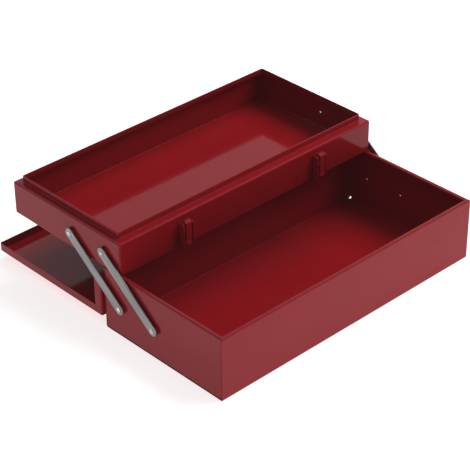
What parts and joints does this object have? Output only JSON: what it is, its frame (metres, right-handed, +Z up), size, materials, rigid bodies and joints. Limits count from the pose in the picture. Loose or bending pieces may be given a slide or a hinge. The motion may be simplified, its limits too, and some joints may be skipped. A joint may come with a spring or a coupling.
{
  "type": "cantilever tool box",
  "caption": "Red sheet-steel tool box with a base tray, one upper tray that swings out on four zinc-plated arms, and a hinged lid, standing open.",
  "frame": {"origin": "middle of the base tray's underside, on the floor", "axes": "+Z up, +X along the box to its right-hand end, -Y towards the front; the box stands fully open, with the upper tray and the lid behind the base"},
  "size_m": [0.442, 0.4246, 0.1408],
  "materials": {
    "red_enamel": "gloss red enamel on sheet steel",
    "zinc_plate": "bright zinc-plated steel",
    "black_plastic": "satin moulded plastic"
  },
  "bodies": {
    "base": {"base_pan": "red_enamel", "base_end_left": "red_enamel", "base_end_right": "red_enamel", "base_rivets_left": "zinc_plate", "base_rivets_right": "zinc_plate", "base_spacers": "zinc_plate", "hinge_leaf_base": "red_enamel", "hinge_pin": "zinc_plate", "hinge_rivets_base": "red_enamel"},
    "front_left_arm": {"arm_left_front": "zinc_plate"},
    "rear_left_arm": {"arm_left_rear": "zinc_plate"},
    "front_right_arm": {"arm_right_front": "zinc_plate"},
    "rear_right_arm": {"arm_right_rear": "zinc_plate"},
    "tray": {"tray_shell": "red_enamel", "tray_rivets_left": "zinc_plate", "tray_rivets_right": "zinc_plate", "tray_spacers": "zinc_plate", "catch_bracket_left": "red_enamel", "catch_bracket_right": "red_enamel", "catch_pins": "red_enamel", "catch_springs": "zinc_plate", "catch_rivets": "red_enamel"},
    "left_catch": {"catch_lever_left": "red_enamel"},
    "right_catch": {"catch_lever_right": "red_enamel"},
    "lid": {"lid_shell": "red_enamel", "hinge_leaf_lid": "red_enamel", "hinge_rivets_lid": "red_enamel", "lid_keepers": "red_enamel", "keeper_rivets": "red_enamel", "handle_bracket_left": "zinc_plate", "handle_bracket_right": "zinc_plate", "handle_rivets": "zinc_plate"},
    "handle": {"handle_bail": "zinc_plate", "handle_grip": "black_plastic"}
  },
  "joints": [
    {"name": "tray_swing", "type": "hinge", "parent": "base", "child": "front_left_arm", "pos_m": [-0.2186, 0.0132, 0.0417], "axis": [1, 0, 0], "range_deg": [0, 104.55]},
    {"name": "rear_left_arm_swing", "type": "hinge", "parent": "base", "child": "rear_left_arm", "pos_m": [-0.2186, 0.0732, 0.0417], "axis": [1, 0, 0], "range_deg": [0, 104.55]},
    {"name": "front_right_arm_swing", "type": "hinge", "parent": "base", "child": "front_right_arm", "pos_m": [0.2186, 0.0132, 0.0417], "axis": [1, 0, 0], "range_deg": [0, 104.55]},
    {"name": "rear_right_arm_swing", "type": "hinge", "parent": "base", "child": "rear_right_arm", "pos_m": [0.2186, 0.0732, 0.0417], "axis": [1, 0, 0], "range_deg": [0, 104.55]},
    {"name": "tray_level", "type": "hinge", "parent": "front_left_arm", "child": "tray", "pos_m": [-0.2186, 0.1002, 0.109], "axis": [1, 0, 0], "range_deg": [-104.55, 0]},
    {"name": "left_catch_press", "type": "hinge", "parent": "tray", "child": "left_catch", "pos_m": [-0.115, 0.0638, 0.1108], "axis": [1, 0, 0], "range_deg": [0, 15], "stiffness_Nm_per_rad": 0.02, "springref_deg": -20.05},
    {"name": "right_catch_press", "type": "hinge", "parent": "tray", "child": "right_catch", "pos_m": [0.115, 0.0638, 0.1108], "axis": [1, 0, 0], "range_deg": [0, 15], "stiffness_Nm_per_rad": 0.02, "springref_deg": -20.05},
    {"name": "lid_turn", "type": "hinge", "parent": "base", "child": "lid", "pos_m": [0, 0.1061, 0.0782], "axis": [1, 0, 0], "range_deg": [0, 25]},
    {"name": "handle_fold", "type": "hinge", "parent": "lid", "child": "handle", "pos_m": [0, 0.2122, 0.0057], "axis": [1, 0, 0], "range_deg": [0, 90]}
  ],
  "couplings": [
    {"joint": "rear_left_arm_swing", "follows": "tray_swing", "ratio": 1},
    {"joint": "front_right_arm_swing", "follows": "tray_swing", "ratio": 1},
    {"joint": "rear_right_arm_swing", "follows": "tray_swing", "ratio": 1},
    {"joint": "tray_level", "follows": "tray_swing", "ratio": -1}
  ]
}
